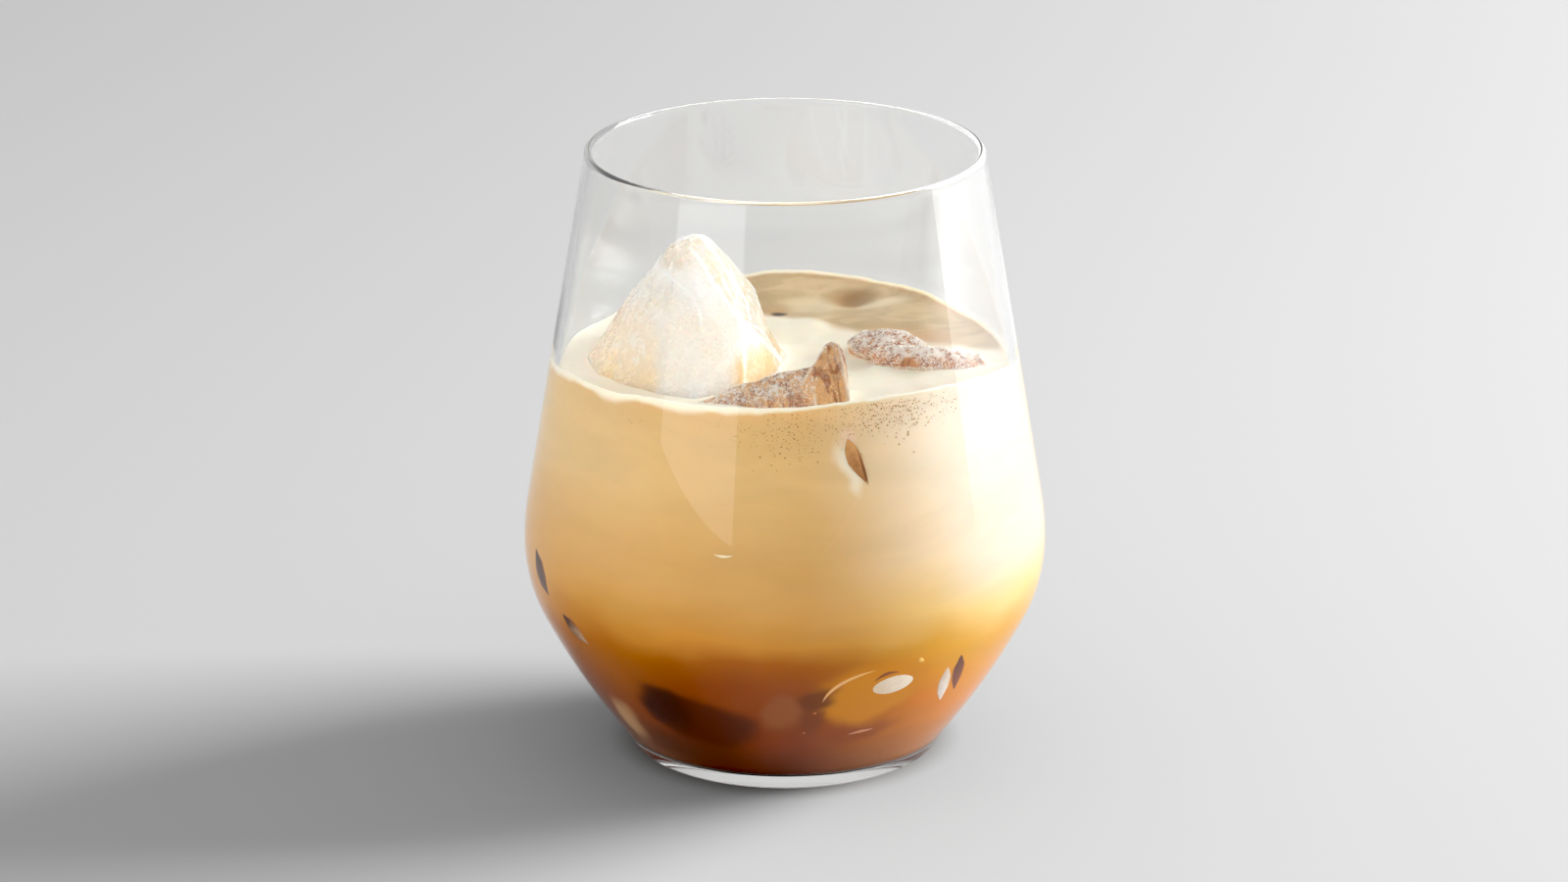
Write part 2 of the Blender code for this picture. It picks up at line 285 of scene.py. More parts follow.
class Graph:
    """The nodes of a material, a lamp or the world, with short calls for those that are used here."""

    def __init__(self, owner):
        """The owner is the material, the lamp's data or the world."""
        owner.use_nodes = True
        self.owner = owner
        self.nodes = owner.node_tree.nodes
        self.place = self.add("TexCoord").outputs["Object"]

    def add(self, kind, inputs=(), **settings):
        """A node with settings as attributes and inputs as {socket name or index: value or socket}."""
        node = self.nodes.new("ShaderNode" + kind)
        for key, value in settings.items():
            setattr(node, key, value)
        for key, value in dict(inputs).items():
            self.put(node.inputs[key], value)
        return node

    def put(self, socket, value):
        """Links a socket, or sets its plain value."""
        if isinstance(value, bpy.types.NodeSocket):
            self.owner.node_tree.links.new(value, socket)
        elif isinstance(value, tuple) and len(value) == 3 and socket.type == "RGBA":
            socket.default_value = (*value, 1)
        else:
            socket.default_value = value

    def set(self, **inputs):
        """Sets or links inputs of the Principled shader, with _ for a space in the name."""
        for key, value in inputs.items():
            self.put(self.nodes["Principled BSDF"].inputs[key.replace("_", " ")], value)

    def maths(self, operation, *values, clamp=False):
        return self.add("Math", enumerate(values), operation=operation, use_clamp=clamp).outputs[0]

    def joined(self, operation, first, *others):
        """Maths over two or more values, two at a time."""
        for value in others:
            first = self.maths(operation, first, value)
        return first

    def times(self, *values):
        return self.joined("MULTIPLY", *values)

    def plus(self, *values):
        return self.joined("ADD", *values)

    def most(self, *values):
        return self.joined("MAXIMUM", *values)

    def vector(self, operation, *values):
        """Vector maths, which finds a number where it measures and a vector otherwise."""
        node = self.add("VectorMath", enumerate(values), operation=operation)
        measured = operation in ("DOT_PRODUCT", "LENGTH", "DISTANCE")
        return node.outputs["Value" if measured else "Vector"]

    def axis(self, name):
        """One of X, Y or Z of the place on the piece."""
        return self.add("SeparateXYZ", {0: self.place}).outputs[name]

    def span(self, value, low, high, to_low=0.0, to_high=1.0):
        """A smooth step from to_low to to_high as value goes from low to high."""
        inputs = enumerate((value, low, high, to_low, to_high))
        return self.add("MapRange", inputs, interpolation_type="SMOOTHSTEP").outputs["Result"]

    def along(self, *direction):
        """How far the place lies in a direction."""
        return self.vector("DOT_PRODUCT", self.place, direction)

    def facing(self, azimuth):
        """Cosine of the angle between the place's bearing from the axis and an azimuth in degrees."""
        level = self.vector("NORMALIZE", self.vector("MULTIPLY", self.place, (1, 1, 0)))
        return self.vector("DOT_PRODUCT", level, round_axis(1, math.radians(azimuth), 0))

    def value(self, name):
        """A value that the mesh holds at each vertex."""
        return self.add("Attribute", attribute_name=name).outputs["Fac"]

    def scaled(self, size, stretch=(1, 1, 1)):
        """The place as a vector that grows by 1 over every size metres."""
        return self.add("Mapping", {"Vector": self.place, "Scale": Vector(stretch) / size}).outputs[0]

    def noise(self, size, detail=3.0, roughness=0.55, stretch=(1, 1, 1), distortion=0.0, output="Fac"):
        """A noise from 0 to 1 whose grains are about size metres across."""
        inputs = {"Vector": self.scaled(size, stretch), "Scale": 1.0, "Detail": detail}
        inputs |= {"Roughness": roughness, "Distortion": distortion}
        return self.add("TexNoise", inputs).outputs[output]

    def waver(self, size, reach, **settings):
        """A noise about 0 that goes half of reach to either side."""
        return self.times(self.maths("SUBTRACT", self.noise(size, **settings), 0.5), reach)

    def oval(self, place, centre, turn, halves):
        """Distance of a place from a centre, which is 1 on the oval with these half axes."""
        inputs = {"Vector": place, "Location": centre, "Rotation": turn, "Scale": halves}
        return self.vector("LENGTH", self.add("Mapping", inputs, vector_type="TEXTURE").outputs[0])

    def strokes(self, place, path, half):
        """1 along a path of (x, y) points in millimetres, falling to 0 past a half width in metres."""
        nearest = None
        for start, end in zip(path, path[1:]):
            start, end = Vector((*start, 0)) / 1000, Vector((*end, 0)) / 1000
            away = self.vector("SUBTRACT", place, start)
            share = self.vector("DOT_PRODUCT", away, (end - start) / (end - start).length_squared)
            foot = self.vector("MULTIPLY", end - start, self.maths("ADD", share, 0.0, clamp=True))
            far = self.vector("DISTANCE", away, foot)
            nearest = self.maths("MINIMUM", nearest, far) if nearest else far
        return self.span(nearest, half * 0.4, half * 1.3, 1.0, 0.0)

    def mix(self, share, first, second, blend="MIX"):
        """A colour from first to second as share goes from 0 to 1."""
        inputs = {0: share, 6: first, 7: second}
        return self.add("Mix", inputs, data_type="RGBA", blend_type=blend).outputs[2]

    def mix_value(self, share, first, second):
        """A number from first to second as share goes from 0 to 1."""
        return self.add("Mix", {0: share, 2: first, 3: second}, data_type="FLOAT").outputs[0]

    def mix_shader(self, share, first, second):
        """A shader from first to second as share goes from 0 to 1."""
        return self.add("MixShader", {0: share, 1: first, 2: second}).outputs[0]

    def ramp(self, value, stops):
        """A colour ramp over (position, sRGB colour) stops."""
        node = self.add("ValToRGB", {0: value})
        while len(node.color_ramp.elements) < len(stops):
            node.color_ramp.elements.new(0.5)
        for element, (position, colour) in zip(node.color_ramp.elements, stops):
            element.position = position
            element.color = (*srgb(*colour), 1)
        return node.outputs["Color"]

    def bump(self, height, distance):
        """Sets the shader's normal from a relief."""
        inputs = {"Height": height, "Distance": distance, "Strength": 1.0}
        self.set(Normal=self.add("Bump", inputs).outputs["Normal"])

    def shader(self):
        return self.nodes["Principled BSDF"].outputs[0]

    def show(self, shader):
        """Makes this the surface shader."""
        self.put(self.nodes["Material Output"].inputs["Surface"], shader)


def new_material(name):
    return Graph(bpy.data.materials.new(name))


def let_light_in(graph, tint, lamps=1.0, diffuse=0.0):
    """Lets shares of the lamps' light and of diffuse light through, so that what is behind is lit."""
    path = graph.add("LightPath").outputs
    lamps = graph.times(path["Is Shadow Ray"], lamps)
    through = graph.most(lamps, graph.times(path["Is Diffuse Ray"], diffuse))
    clear = graph.add("BsdfTransparent", {"Color": tint}).outputs[0]
    graph.show(graph.mix_shader(through, graph.shader(), clear))


def glass_material():
    graph = new_material("tumbler_glass")
    graph.set(Base_Color=(0.99, 0.995, 0.99), Roughness=0.0, IOR=GLASS_IOR, Transmission_Weight=1.0)
    graph.bump(graph.noise(0.030, detail=1.0, stretch=(1, 1, 0.4)), 0.00012)
    let_light_in(graph, (0.97, 0.975, 0.97), diffuse=1.0)
    return graph.owner


# The drink's layers by height in metres, from dark coffee through amber to froth, in copies that paint how
# the
# light falls: on the left, in front, and on the right, where painted light stands in for the key light's glow
LEFT_LAYERS = (
    (0.003, (145, 90, 60)),
    (0.008, (120, 60, 24)),
    (0.016, (144, 68, 4)),
    (0.028, (182, 106, 8)),
    (0.035, (210, 152, 74)),
    (0.056, (226, 192, 138)),
)
FRONT_LAYERS = (
    (0.003, (96, 42, 18)),
    (0.011, (132, 54, 4)),
    (0.023, (148, 68, 2)),
    (0.028, (168, 92, 4)),
    (0.032, (206, 140, 52)),
    (0.040, (213, 162, 92)),
    (0.058, (230, 192, 132)),
)
KEY_LIT_LAYERS = (
    (0.003, (150, 84, 30)),
    (0.018, (232, 134, 0)),
    (0.025, (236, 154, 6)),
    (0.030, (230, 168, 54)),
    (0.036, (240, 202, 130)),
    (0.045, (234, 212, 178)),
    (0.065, (235, 222, 202)),
)
RAMP_TOP = 0.080

# Soft places on the drink's side where sunk ice shows: painted shade where it darkens the drink, painted glow
# where light passes through it, and a painted highlight by the sliver. Azimuth in degrees, height, half width
# and half length in millimetres, tilt in degrees, softness, sRGB colour and share
Place = namedtuple("Place", "azimuth height across along tilt soft colour share")
SUNK_ICE_LIGHT_AND_SHADE = (
    Place(291.5, 21.8, 9.2, 6.6, 8, 0.26, (220, 140, 20), 0.85),
    Place(288.5, 12.8, 7.0, 2.2, 4, 0.45, (146, 68, 20), 0.7),
    Place(245.5, 15.2, 9.8, 6.4, -10, 0.24, (84, 32, 8), 0.95),
    Place(237.0, 17.2, 4.4, 4.6, 14, 0.5, (60, 23, 9), 0.95),
    Place(238.0, 8.0, 8.5, 3.6, 0, 0.6, (90, 44, 20), 0.75),
    Place(269.5, 18.2, 3.6, 4.6, -6, 0.35, (152, 84, 40), 0.85),
    Place(278.0, 21.6, 3.4, 2.6, 34, 0.45, (108, 50, 12), 0.9),
    Place(276.5, 17.0, 1.7, 4.0, -8, 0.5, (118, 54, 14), 0.7),
    Place(216.5, 11.0, 2.4, 4.4, -10, 0.6, (214, 162, 110), 0.8),
    Place(285.0, 61.2, 1.5, 3.8, 22, 0.5, (252, 236, 210), 0.85),
    Place(284.6, 66.0, 0.9, 1.4, 20, 0.6, (240, 206, 176), 0.8),
)


def drink_colour(graph):
    """The colour of the drink: dark coffee that fades up through amber to pale froth, with painted light and
    shade from the key light and the sunk ice.
    """
    # The far right, where the key light falls: painted light lifts the layers there and makes them paler
    far_right = graph.span(graph.facing(342), 0.78, 0.98)
    lift = graph.waver(0.018, 0.006, detail=2.0, stretch=(1, 1, 1.6))
    share = graph.maths("DIVIDE", graph.plus(graph.axis("Z"), lift, graph.times(far_right, 0.0032)), RAMP_TOP)
    left, front, right = (
        graph.ramp(share, [(height / RAMP_TOP, colour) for height, colour in layers])
        for layers in (LEFT_LAYERS, FRONT_LAYERS, KEY_LIT_LAYERS)
    )
    colour = graph.mix(graph.span(graph.facing(200), 0.70, 0.95), front, left)

    # Painted light and shade: the key light's side is painted brighter up to its outline, and painted darker
    # past it, where that light falls full
    ahead = graph.span(graph.axis("Y"), -0.009, 0.005, 1.0, 0.0)
    colour = graph.mix(graph.times(graph.span(graph.facing(342), 0.35, 0.97), ahead), colour, right)
    # Painted light: paler on the far right, in front of its outline, above the amber
    pale = graph.times(far_right, ahead, graph.span(graph.axis("Z"), 0.033, 0.042, 0.0, 0.85))
    colour = graph.mix(pale, colour, srgb(223, 213, 196))
    # Random swirls of tone, darkened by painted shade behind the right side, where the key light falls full
    swirls_and_painted_shade = graph.span(graph.noise(0.022, stretch=(1, 1, 4), distortion=0.6), 0.3, 0.7, 0.96, 1.03)
    behind = graph.times(graph.span(graph.axis("Y"), 0.002, 0.014), graph.span(graph.facing(35), 0.2, 0.9))
    swirls_and_painted_shade = graph.times(swirls_and_painted_shade, graph.span(behind, 0.0, 1.0, 1.0, 0.68))
    shade = graph.add("CombineColor", {0: swirls_and_painted_shade, 1: swirls_and_painted_shade, 2: swirls_and_painted_shade}).outputs[0]
    colour = graph.mix(1.0, colour, shade, blend="MULTIPLY")

    # Painted shade, glow and highlights where sunk ice shows, with rippled outlines
    ripple = graph.vector("SUBTRACT", graph.noise(1 / 130, 2.0, 0.5, output="Color"), (0.5, 0.5, 0.5))
    place = graph.vector("ADD", graph.place, graph.vector("MULTIPLY", ripple, (0.006, 0.006, 0.006)))
    for spot in SUNK_ICE_LIGHT_AND_SHADE:
        centre, across, along, out = wall_frame(spot.azimuth, spot.height / 1000, spot.tilt)
        turn = Matrix((across, along, out)).transposed().to_euler()
        far = graph.oval(place, centre, turn, (spot.across / 1000, spot.along / 1000, 0.010))
        here = graph.span(far, 1 - spot.soft, 1 + spot.soft, spot.share, 0.0)
        colour = graph.mix(here, colour, srgb(*spot.colour))
    return colour


# Bounces after which light has run along inside the wall, as it does in the lip
LONG_WAY = 5.5


def behind_glass(graph, colour):
    """The drink's surface as the glass shows it: almost no gloss, but a mirror at a grazing angle.

    The floor sees it as a dull grey, so that it stays neutral. The lip, which shows it along the inside of
    the wall, sees a painted reflection of it: golden only in front, pale grey elsewhere and dark at the left.
    """
    graph.set(Base_Color=colour, Roughness=0.6, Specular_IOR_Level=0.0)
    edge = graph.add("Fresnel", {"IOR": DRINK_BEHIND_GLASS}).outputs[0]
    mirror = graph.add("BsdfGlossy", {"Color": (1, 1, 1), "Roughness": 0.0}).outputs[0]
    dull = graph.add("BsdfDiffuse", {"Color": (0.12, 0.12, 0.12)}).outputs[0]
    # Painted reflection in the lip: light that has run along inside the wall sees a grey tone, dark at the
    # left
    tone = graph.span(graph.facing(176), 0.70, 0.97, 0.72, 0.10)
    pale = graph.add("BsdfDiffuse", {"Color": tone}).outputs[0]
    path = graph.add("LightPath").outputs
    long_way = graph.maths("GREATER_THAN", path["Ray Depth"], LONG_WAY)
    long_way = graph.times(long_way, graph.span(graph.facing(273), 0.72, 0.86, 1.0, 0.25))
    mixed = graph.mix_shader(edge, graph.shader(), mirror)
    mixed = graph.mix_shader(path["Is Diffuse Ray"], mixed, dull)
    graph.show(graph.mix_shader(long_way, mixed, pale))


def coffee_material():
    graph = new_material("coffee_side")
    behind_glass(graph, drink_colour(graph))
    return graph.owner


def froth_side_material():
    """The drink's colour, with a crest of cream along the froth's edge that is thickest at the left."""
    graph = new_material("froth_side")
    thick = graph.span(graph.facing(222), 0.62, 0.90, 0.58, 1.35)
    thick = graph.times(thick, graph.span(graph.noise(0.007, detail=1.0), 0.3, 0.7, 0.7, 1.3))
    cream = graph.span(graph.maths("DIVIDE", graph.value("below_edge"), thick), 0.0004, 0.0013, 0.85, 0.0)
    graph.set(Subsurface_Weight=graph.span(graph.axis("Z"), 0.036, 0.050, 0.0, 0.5))
    graph.set(Subsurface_Radius=FROTH_GLOW, Subsurface_Scale=0.003)
    behind_glass(graph, graph.mix(cream, drink_colour(graph), srgb(255, 246, 228)))
    return graph.owner


def froth_top_material():
    """Cream in front and a beige film at the back, where bubbles have left it thin; its darker tone is also
    painted shade, as that slope faces away from the key light.
    """
    graph = new_material("froth_top")
    cream = graph.mix(graph.noise(0.009), srgb(253, 244, 228), srgb(248, 233, 206))
    back = graph.plus(graph.along(0.5, 1.0, 0.0), graph.waver(0.012, 0.005, detail=2.0))
    tint = graph.span(graph.noise(0.008, detail=2.0, stretch=(0.8, 1.5, 1), distortion=1.6), 0.35, 0.65)
    film = graph.mix(tint, srgb(193, 165, 121), srgb(212, 184, 141))
    colour = graph.mix(graph.span(back, 0.0190, 0.0222), cream, film)
    for x, y, across, along, tilt, tone, share in FROTH_STAINS_AND_SHADE:
        centre = (x / 1000, y / 1000, FROTH_BASIN)
        turn, halves = (0, 0, math.radians(tilt)), (across / 1000, along / 1000, 0.02)
        far = graph.oval(graph.place, centre, turn, halves)
        colour = graph.mix(graph.span(far, 0.4, 1.4, share, 0.0), colour, srgb(*tone))
    # A painted highlight along the meniscus, where the froth meets the wall
    line = graph.span(graph.value("to_wall"), 0.0003, 0.0010, 0.85, 0.0)
    colour = graph.mix(line, colour, srgb(253, 243, 222))
    graph.set(Base_Color=colour, Roughness=0.28, Specular_IOR_Level=0.4)
    graph.set(Subsurface_Weight=0.5, Subsurface_Radius=FROTH_GLOW, Subsurface_Scale=0.003)
    graph.bump(graph.noise(0.0012, detail=2.0), 0.00005)
    return graph.owner


def froth_edge_levels():
    """Angles and heights of the froth's edge on the glass, read from its solid."""
    corners = np.array([v.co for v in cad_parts["froth"].data.vertices])
    radius = np.hypot(corners[:, 0], corners[:, 1])
    wall = np.array([inner_radius(z) for z in corners[:, 2]])
    edge = corners[(corners[:, 2] > FROTH_BASIN - 0.0005) & (radius > wall - 0.0005)]
    angles = np.arctan2(edge[:, 1], edge[:, 0])
    order = np.argsort(angles)
    return angles[order], edge[order, 2]


EDGE_ANGLES, EDGE_HEIGHTS = froth_edge_levels()


def edge_height(angle):
    """Height of the froth's edge on the glass at an angle, with a small waver."""
    level = np.interp(angle, EDGE_ANGLES, EDGE_HEIGHTS, period=2 * math.pi)
    spot = Vector((math.cos(angle), math.sin(angle), 0)) * 4.0
    return level + 0.00025 * noise.noise(spot * 2.0) + 0.00012 * noise.noise(spot * 6.0)


# Dents and swells of the froth's top: x, y, radius and height in millimetres
FROTH_DENTS = (
    (11.0, 28.5, 2.6, -1.5),
    (16.0, 31.5, 2.6, 0.9),
    (-1.0, 22.6, 1.3, -0.3),
    (-0.2, 20.4, 1.7, 0.12),
    (4.5, 18.5, 3.4, 0.6),
)
# Stains in it, with painted shade in its dents, its hole and by the ice, and a painted highlight beside the
# deepest
# dent: x, y, half width and half depth in millimetres, tilt in degrees, sRGB colour and share
FROTH_STAINS_AND_SHADE = (
    (5.0, 25.5, 5.5, 3.5, -10, (228, 208, 170), 0.7),
    (-5.0, 27.5, 5.0, 4.0, 0, (182, 154, 106), 0.6),
    (17.0, 26.0, 5.0, 1.6, 14, (240, 222, 190), 0.65),
    (11.6, 28.6, 4.6, 3.2, 12, (166, 126, 78), 0.85),
    (-2.6, 24.0, 3.6, 2.6, 0, (186, 150, 100), 0.75),
    (-1.0, 22.4, 1.5, 0.9, 0, (48, 30, 15), 1.0),
    (21.0, 13.0, 8.0, 3.0, -10, (204, 160, 112), 0.6),
    (26.0, 10.0, 4.0, 5.0, 10, (206, 162, 114), 0.6),
)


def froth_top_height(x, y, ice_tree):
    """Height of the froth's top at a place: a soft basin that climbs the glass and the ice."""
    angle = math.atan2(y, x)
    edge = edge_height(angle)
    wall = inner_radius(edge)
    radius = math.hypot(x, y)
    share = min(radius / wall, 1.0)
    backness = 0.5 + 0.5 * math.sin(angle)
    power = SLOPE_POWER_FRONT + (SLOPE_POWER_BACK - SLOPE_POWER_FRONT) * backness
    height = FROTH_BASIN + (edge - FROTH_BASIN - MENISCUS_HEIGHT) * share**power
    height += MENISCUS_HEIGHT * math.exp(-max(wall - radius, 0) / MENISCUS_WIDTH)
    for size, depth in SWELLS:
        height += depth * noise.noise(Vector((x, y, size)) / size) * (1 - share**6)
    for dent_x, dent_y, size, depth in FROTH_DENTS:
        far = math.hypot(x * 1000 - dent_x, y * 1000 - dent_y) / size
        height += depth / 1000 * math.exp(-(far**2)) * (1 - share**8)
    near = ice_tree.find_nearest(Vector((x, y, height)))
    height += ICE_CLIMB * math.exp(-near[3] / ICE_CLIMB_WIDTH) * (1 - share**8)
    return height


def froth_piece(ice_tree):
    """The froth from the coffee's level up, with its side just inside the wall of the glass."""
    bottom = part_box("coffee")[1].z - 0.00002
    turns = [2 * math.pi * step / DRINK_SEGMENTS for step in range(DRINK_SEGMENTS)]
    edge = [(turn, edge_height(turn)) for turn in turns]
    rings = []
    for level in range(SIDE_RINGS + 1):
        ring = [(turn, bottom + (top - bottom) * level / SIDE_RINGS) for turn, top in edge]
        rings.append([round_axis(inner_radius(z) + WALL_OVERLAP, turn, z) for turn, z in ring])
    for level in range(1, TOP_RINGS):
        share = (1 - level / TOP_RINGS) ** 0.8
        ring = [round_axis((inner_radius(top) + WALL_OVERLAP) * share, turn, 0.0) for turn, top in edge]
        rings.append([(x, y, froth_top_height(x, y, ice_tree)) for x, y, _ in ring])
    piece = mesh_object("froth_body", *rings_mesh(rings))
    paint(piece, froth_side_material(), froth_top_material())
    for face in piece.data.polygons:
        x, y, z = face.center
        if z > FROTH_BASIN - 0.003 and math.hypot(x, y) < inner_radius(z) - 0.00002:
            face.material_index = 1
    spots = [vertex.co for vertex in piece.data.vertices]
    hold(piece.data, below_edge=[edge_height(math.atan2(y, x)) - z for x, y, z in spots])
    hold(piece.data, to_wall=[inner_radius(z) - math.hypot(x, y) for x, y, z in spots])
    return piece


# Groups of bubbles at the wall: azimuth and its spread in degrees, depth below the froth's edge and its
# spread in millimetres, count, smallest and largest radius in millimetres
PIT_GROUPS = (
    (298.0, 5.5, 2.6, 2.0, 330, 0.100, 0.195),
    (289.0, 4.0, 3.0, 1.6, 90, 0.090, 0.160),
    (274.0, 6.5, 3.6, 2.8, 260, 0.070, 0.155),
    (259.0, 6.0, 3.4, 2.6, 80, 0.060, 0.110),
    (312.0, 3.0, 2.4, 1.4, 60, 0.080, 0.130),
    (30.0, 24.0, 2.8, 2.0, 130, 0.070, 0.140),
    (115.0, 30.0, 2.8, 2.0, 130, 0.070, 0.140),
    (200.0, 20.0, 2.8, 2.0, 90, 0.065, 0.130),
)
# Least distance between bubbles in metres, and their least depth in millimetres
PIT_SPACING = 0.00041
PIT_LEAST_DEPTH = 0.9


def froth_pits():
    """Small open bubbles that the wall of the glass shows under the froth's edge."""
    dice = random.Random(11)
    mesh = bmesh.new()
    taken = []
    for azimuth, spread, depth, depth_spread, count, small, large in PIT_GROUPS:
        for _ in range(count):
            turn, below = dice.gauss(azimuth, spread), dice.gauss(depth, depth_spread)
            size = (small + (large - small) * dice.random() ** 2) / 1000
            squash = dice.uniform(0.75, 1.0)
            centre, across, along, out = wall_frame(turn, edge_height(math.radians(turn)) - below / 1000)
            if below < PIT_LEAST_DEPTH or any((centre - other).length < PIT_SPACING for other in taken):
                continue
            taken.append(centre + out * (WALL_OVERLAP + 0.00001))
            place = Matrix((across * size, along * size * squash, out * size * 0.5)).transposed().to_4x4()
            place.translation = taken[-1]
            bmesh.ops.create_icosphere(mesh, subdivisions=1, radius=1.0, matrix=place)
    graph = new_material("froth_bubbles")
    tint = graph.mix(graph.noise(0.0011), srgb(156, 114, 66), srgb(198, 156, 102))
    graph.set(Base_Color=tint, Roughness=0.4, Specular_IOR_Level=0.3)
    return paint(linked("froth_bubbles", mesh=mesh), graph.owner)


# Ice in the drink that touches the wall. Each piece is a strip along a path of (azimuth in degrees, height
# in millimetres), with its half widths in millimetres spaced evenly along the path. Its colour goes from
# first to second along it, and to rim at its edge over a share of its half width.
Strip = namedtuple("Strip", "name path widths first second rim soft")
# Some strips are painted light and shade on that ice: highlights in the orange spot, the bright arc, the
# streaks and the dots, and shade along the upper edge of the pale piece
SUNK_STRIPS = (
    Strip("sliver", ((284.9, 65.9), (286.7, 61.9), (289.5, 57.7)), (0.55, 1.35, 1.45, 0.9, 0.1),
          (206, 150, 92), (158, 104, 58), (196, 150, 96), 0.35),
    Strip("sliver_edge", ((286.7, 64.6), (288.4, 61.0), (289.7, 57.4)), (0.1, 0.32, 0.32, 0.1),
          (132, 84, 44), (120, 74, 38), (150, 100, 56), 0.5),
    Strip("pale", ((291.0, 22.5), (296.7, 22.9), (302.6, 23.3)), (2.2, 2.3, 2.2),
          (238, 212, 184), (255, 236, 214), (226, 176, 110), 0.16),
    Strip("pale_shade", ((291.2, 23.9), (294.0, 25.4), (297.6, 25.3)), (0.2, 0.5, 0.2),
          (142, 70, 26), (150, 76, 30), (190, 112, 30), 0.8),
    Strip("right_pale", ((312.0, 24.3), (313.8, 20.0), (316.4, 16.0)), (0.5, 1.5, 1.3, 0.3),
          (226, 204, 184), (240, 226, 214), (214, 150, 78), 0.45),
    Strip("right_dark", ((315.0, 26.0), (317.2, 21.8), (320.2, 17.4)), (0.5, 1.5, 1.2, 0.4),
          (104, 50, 30), (134, 66, 34), (186, 106, 36), 0.5),
    Strip("right_highlight", ((302.2, 26.6), (302.9, 27.2)), (0.9, 0.9),
          (255, 206, 110), (255, 206, 110), (226, 150, 30), 0.9),
    Strip("arc", ((291.9, 26.5), (288.0, 26.0), (283.6, 24.6), (281.0, 22.9), (279.1, 20.2)),
          (0.15, 0.45, 0.55, 0.5, 0.15), (255, 196, 110), (240, 186, 132), (200, 118, 30), 0.9),
    Strip("low_highlight_streak", ((288.0, 12.8), (291.7, 13.2), (296.0, 13.4)), (0.3, 0.6, 0.3),
          (210, 138, 100), (222, 150, 108), (158, 78, 32), 0.8),
    Strip("highlight_dot_high", ((277.2, 18.3), (278.1, 18.4)), (0.35, 0.35),
          (196, 120, 66), (196, 120, 66), (150, 74, 20), 0.8),
    Strip("highlight_dot_low", ((274.8, 13.9), (275.7, 14.0)), (0.35, 0.35),
          (190, 112, 62), (190, 112, 62), (146, 70, 20), 0.8),
    Strip("window_highlight_streak", ((253.8, 46.9), (256.2, 46.6), (258.6, 46.9)), (0.15, 0.4, 0.15),
          (255, 232, 190), (255, 236, 200), (224, 184, 122), 0.9),
    Strip("left_high", ((197.6, 38.6), (201.1, 34.9), (205.2, 31.6)), (0.4, 2.3, 2.1, 0.4),
          (60, 30, 20), (94, 58, 44), (150, 96, 50), 0.6),
    Strip("left_low", ((210.0, 30.2), (214.0, 28.1), (218.8, 26.2)), (0.4, 1.9, 1.8, 0.4),
          (80, 42, 24), (186, 148, 116), (166, 94, 30), 0.7),
)


def wall_strip(strip, steps=36, levels=6, rise=0.0002, depth=0.0012):
    """A thin closed piece against the wall, which stands out of the drink's side by rise."""
    shares = np.linspace(0, 1, steps + 1)
    knots = np.linspace(0, 1, len(strip.path))
    fits = [np.polyfit(knots, column, min(3, len(knots) - 1)) for column in zip(*strip.path)]
    path = [wall_frame(np.polyval(fits[0], t), np.polyval(fits[1], t) / 1000) for t in shares]
    halves = np.interp(shares, np.linspace(0, 1, len(strip.widths)), strip.widths) / 1000
    halves *= np.sqrt(1 - (2 * shares - 1) ** 2 + 1e-4)
    sides = [-1 + step / levels for step in range(2 * levels + 1)]
    rings, core, along = [], [], []
    for index, (share, half) in enumerate(zip(shares, halves)):
        centre, out = path[index][0], path[index][3]
        ahead = path[min(index + 1, steps)][0] - path[max(index - 1, 0)][0]
        across = out.cross(ahead).normalized()
        round_off = 4 * share * (1 - share)
        ring = []
        for face, spots in ((rise, sides), (-depth, sides[-2:0:-1])):
            for side in spots:
                spot = centre + across * (side * half)
                stand = WALL_OVERLAP - 0.00004 + face * (1 - side * side) * round_off
                level = Vector((spot.x, spot.y, 0)).normalized()
                ring.append(tuple(level * (inner_radius(spot.z) + stand) + Vector((0, 0, spot.z))))
                core.append((1 - abs(side)) * min(1.0, 3 * round_off))
                along.append(share)
        rings.append(ring)
    name = "sunk_ice_" + strip.name
    piece = mesh_object(name, *rings_mesh(rings), core=core + [0.0, 0.0], along=along + [0.0, 1.0])
    graph = new_material(name)
    share = graph.plus(graph.value("along"), graph.span(graph.noise(0.0015), 0.2, 0.8, -0.25, 0.25))
    colour = graph.mix(graph.span(share, 0.1, 0.9), srgb(*strip.first), srgb(*strip.second))
    colour = graph.mix(graph.span(graph.value("core"), 0.0, strip.soft), srgb(*strip.rim), colour)
    graph.set(Base_Color=colour, Roughness=0.3, Specular_IOR_Level=0.2)
    return paint(piece, graph.owner)


# Outward bulge of the surface, as a share of the mesh's grain, that counts as a full edge
EDGE_BULGE = 0.045


